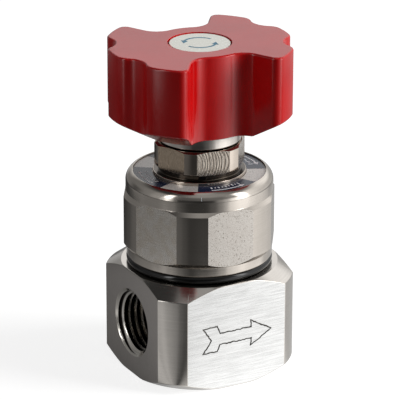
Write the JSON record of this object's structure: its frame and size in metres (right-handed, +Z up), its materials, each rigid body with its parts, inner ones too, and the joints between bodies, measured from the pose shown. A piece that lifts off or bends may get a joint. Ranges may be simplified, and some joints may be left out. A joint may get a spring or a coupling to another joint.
{
  "type": "excess flow valve",
  "caption": "Small square-bodied gas valve with a lobed hand knob, diaphragm shut-off and a spring-loaded excess flow poppet, tapped ports on two opposite sides.",
  "frame": {"origin": "on the valve axis at the underside of the body", "axes": "+Z up along the stem, +X along the flow out of the outlet port, -Y is the front face"},
  "size_m": [0.0382, 0.0336, 0.0696],
  "materials": {
    "body_steel": "brushed",
    "nut_steel": "fine turned",
    "gland_steel": "milled",
    "hub_steel": "polished",
    "inner_steel": "turned",
    "screw_steel": "black oxide",
    "bronze": "turned",
    "black_rubber": "glossy",
    "label_print": "printed film",
    "red_plastic": "moulded, glossy",
    "disc_plastic": "satin",
    "seat_plastic": "machined"
  },
  "bodies": {
    "valve_body": {"body": "body_steel", "body_seal_ring": "black_rubber", "bonnet_nut": "nut_steel", "label_ring": "label_print", "stem_housing": "gland_steel", "stem_nut": "bronze", "stem_o_ring": "black_rubber", "diaphragm_retainer": "inner_steel", "diaphragm_upper": "inner_steel", "diaphragm_lower": "inner_steel", "valve_seat": "seat_plastic", "poppet_guide": "inner_steel", "poppet_spring": "inner_steel"},
    "pusher": {"button": "inner_steel", "thrust_ball": "inner_steel"},
    "handle": {"stem": "inner_steel", "stem_stop_ring": "inner_steel", "knob_hub": "hub_steel", "knob": "red_plastic", "lock_washer": "inner_steel", "knob_screw": "screw_steel", "knob_disc": "disc_plastic"},
    "flow_poppet": {"excess_flow_poppet": "inner_steel", "poppet_seal": "black_rubber"}
  },
  "joints": [
    {"name": "pusher_lift", "type": "slide", "parent": "valve_body", "child": "pusher", "axis": [0, 0, 1], "range_m": [0, 0.001], "deforming": ["diaphragm_upper", "diaphragm_lower"]},
    {"name": "knob_turn", "type": "hinge", "parent": "pusher", "child": "handle", "pos_m": [0, 0, 0.06], "axis": [0, 0, 1], "range_deg": [0, 360]},
    {"name": "poppet_slide", "type": "slide", "parent": "valve_body", "child": "flow_poppet", "axis": [0, 0, 1], "range_m": [0, 0.00155], "stiffness_N_per_m": 300, "springref_m": -0.001, "deforming": ["poppet_spring"]}
  ],
  "couplings": [
    {"joint": "knob_turn", "follows": "pusher_lift", "rad_per_m": 6283.2}
  ]
}
